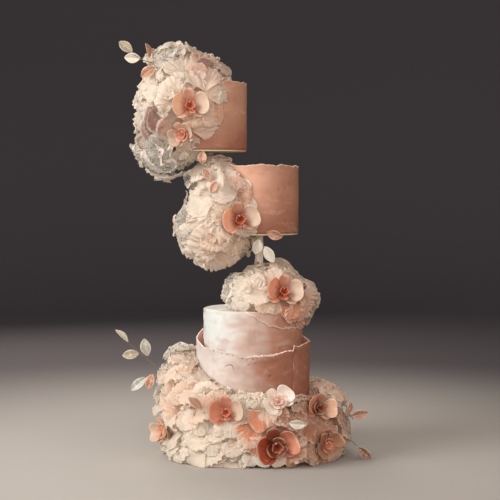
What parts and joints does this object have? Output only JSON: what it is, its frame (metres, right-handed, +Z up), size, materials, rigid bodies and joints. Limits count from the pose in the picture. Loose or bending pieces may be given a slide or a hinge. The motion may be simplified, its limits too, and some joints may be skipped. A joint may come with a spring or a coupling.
{
  "type": "tiered wedding cake",
  "caption": "Tall wedding cake: stacked lower tiers and two offset floating tiers, dressed with rice-paper ruffles, orchids and leaves.",
  "frame": {"origin": "centre of the bottom tier's underside, at the level the cake stands on", "axes": "+Z up along the lower stack's axis, -Y towards the front, +X to the right seen from the front; the two floating tiers stand to the right and to the left"},
  "size_m": [0.5137, 0.372, 0.8329],
  "materials": {
    "icing_white": "matt white icing, hand smoothed",
    "icing_blush": "matt blush icing in torn sheets",
    "board": "thin cake board",
    "paper_wrap": "post wrapped in crumpled paper",
    "rice_paper": "thin ruffled rice paper, cream to peach",
    "orchid": "sugar petals, cream to coral",
    "leaf": "pearly leaves",
    "wire": "fine covered wire"
  },
  "bodies": {
    "root": {"board_mid": "board", "board_top": "board", "leaf_foot_1": "leaf", "leaf_foot_2": "leaf", "leaf_left_1": "leaf", "leaf_left_2": "leaf", "leaf_left_3": "leaf", "leaf_left_4": "leaf", "leaf_left_5": "leaf", "leaf_link_1": "leaf", "leaf_link_2": "leaf", "leaf_link_3": "leaf", "leaf_mid_1": "leaf", "leaf_mid_2": "leaf", "leaf_mid_3": "leaf", "leaf_right_1": "leaf", "leaf_right_2": "leaf", "leaf_right_3": "leaf", "leaf_top_1": "leaf", "leaf_top_2": "leaf", "leaf_top_3": "leaf", "leaf_top_4": "leaf", "orchid_cap": "orchid", "orchid_foot_back": "orchid", "orchid_foot_back_left": "orchid", "orchid_foot_centre": "orchid", "orchid_foot_left": "orchid", "orchid_foot_low": "orchid", "orchid_foot_pale": "orchid", "orchid_foot_right": "orchid", "orchid_foot_side": "orchid", "orchid_mid": "orchid", "orchid_mid_back": "orchid", "orchid_top_back": "orchid", "orchid_top_lower": "orchid", "orchid_top_upper": "orchid", "post_mid": "paper_wrap", "post_top": "paper_wrap", "ruffle_cap": "rice_paper", "ruffle_foot": "rice_paper", "ruffle_mid": "rice_paper", "ruffle_top": "rice_paper", "sheet_lower": "icing_blush", "sheet_mid": "icing_blush", "sheet_top": "icing_blush", "sheet_upper": "icing_blush", "stem_left": "wire", "stem_right": "wire", "stem_top": "wire", "tier_lower": "icing_white", "tier_mid": "icing_blush", "tier_top": "icing_blush", "tier_upper": "icing_white"}
  },
  "joints": []
}
